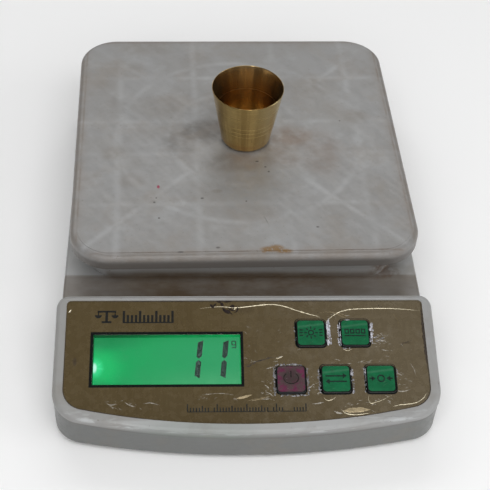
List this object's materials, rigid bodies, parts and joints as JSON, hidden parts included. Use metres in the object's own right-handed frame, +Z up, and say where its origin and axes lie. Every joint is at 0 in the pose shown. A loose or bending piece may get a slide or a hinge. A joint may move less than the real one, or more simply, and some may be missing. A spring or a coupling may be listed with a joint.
{
  "type": "electronic compact scale",
  "caption": "Worn compact electronic scale with a square ribbed platform, a sloping gold-film front with a lit green display and square keys, and a loose tapered brass cup.",
  "frame": {"origin": "on the resting surface under the middle of the object's plan outline", "axes": "+Z up, +Y from the user's side (display) towards the back, +X to the user's right"},
  "size_m": [0.1646, 0.2449, 0.0735],
  "materials": {
    "housing_plastic": "worn satin ABS",
    "gold_film": "glossy gold-brown printed film",
    "clear_window": "clear glossy window",
    "lcd_glass": "backlit green display glass",
    "light_panel": "diffuse light guide",
    "led_green": "green light source",
    "dark_rubber": "matte",
    "dark_plastic": "matte black",
    "circuit_board": "green solder mask",
    "screw_steel": "zinc plated",
    "battery_wrap": "printed wrap",
    "spring_steel": "nickel plated",
    "foot_rubber": "matte",
    "cell_aluminium": "milled",
    "white_sealant": "silicone",
    "lead_insulation": "insulated wire",
    "key_green": "printed green under gloss",
    "key_magenta": "worn printed magenta",
    "turned_brass": "turned and polished"
  },
  "bodies": {
    "housing": {"top_housing": "housing_plastic", "bottom_housing": "housing_plastic", "front_film": "gold_film", "display_window": "clear_window", "lcd_glass": "lcd_glass", "backlight_panel": "light_panel", "backlight_led": "led_green", "lcd_connector_strip": "dark_rubber", "display_holder": "dark_plastic", "main_board": "circuit_board", "chip_cover": "dark_plastic", "board_screws": "screw_steel", "tact_switches": "dark_plastic", "battery_front": "battery_wrap", "battery_back": "battery_wrap", "battery_contact_bridge": "spring_steel", "battery_contact_positive": "spring_steel", "battery_contact_negative": "spring_steel", "foot_front_left": "foot_rubber", "foot_front_right": "foot_rubber", "foot_back_left": "foot_rubber", "foot_back_right": "foot_rubber", "housing_screws": "screw_steel", "load_cell": "cell_aluminium", "load_cell_base_spacer": "cell_aluminium", "load_cell_base_screws": "screw_steel", "strain_gauge_sealant": "white_sealant", "load_cell_leads": "lead_insulation", "battery_leads": "lead_insulation"},
    "platform_assembly": {"platform": "housing_plastic", "platform_carrier": "housing_plastic", "load_cell_live_spacer": "cell_aluminium", "load_cell_live_screws": "screw_steel"},
    "battery_door": {"battery_door": "housing_plastic"},
    "brass_cup": {"brass_cup": "turned_brass"},
    "key_light": {"key_light": "key_green", "key_light_plunger": "dark_plastic"},
    "key_count": {"key_count": "key_green", "key_count_plunger": "dark_plastic"},
    "key_power": {"key_power": "key_magenta", "key_power_plunger": "dark_plastic"},
    "key_mode": {"key_mode": "key_green", "key_mode_plunger": "dark_plastic"},
    "key_tare": {"key_tare": "key_green", "key_tare_plunger": "dark_plastic"}
  },
  "joints": [
    {"name": "platform_press", "type": "slide", "parent": "housing", "child": "platform_assembly", "axis": [0, 0, -1], "range_m": [0, 0.0006], "stiffness_N_per_m": 80000, "deforming": ["load_cell"]},
    {"name": "key_light_press", "type": "slide", "parent": "housing", "child": "key_light", "axis": [0, 0.2672, -0.9636], "range_m": [0, 0.0005], "stiffness_N_per_m": 3000},
    {"name": "key_count_press", "type": "slide", "parent": "housing", "child": "key_count", "axis": [0, 0.2672, -0.9636], "range_m": [0, 0.0005], "stiffness_N_per_m": 3000},
    {"name": "key_power_press", "type": "slide", "parent": "housing", "child": "key_power", "axis": [0, 0.2672, -0.9636], "range_m": [0, 0.0005], "stiffness_N_per_m": 3000},
    {"name": "key_mode_press", "type": "slide", "parent": "housing", "child": "key_mode", "axis": [0, 0.2672, -0.9636], "range_m": [0, 0.0005], "stiffness_N_per_m": 3000},
    {"name": "key_tare_press", "type": "slide", "parent": "housing", "child": "key_tare", "axis": [0, 0.2672, -0.9636], "range_m": [0, 0.0005], "stiffness_N_per_m": 3000},
    {"name": "battery_door_hinge", "type": "hinge", "parent": "housing", "child": "battery_door", "pos_m": [0, -0.0255, 0.0032], "axis": [-1, 0, 0], "range_deg": [0, 85]},
    {"name": "cup_lift", "type": "slide", "parent": "platform_assembly", "child": "brass_cup", "axis": [0, 0, 1], "range_m": [0, 0.06]}
  ]
}
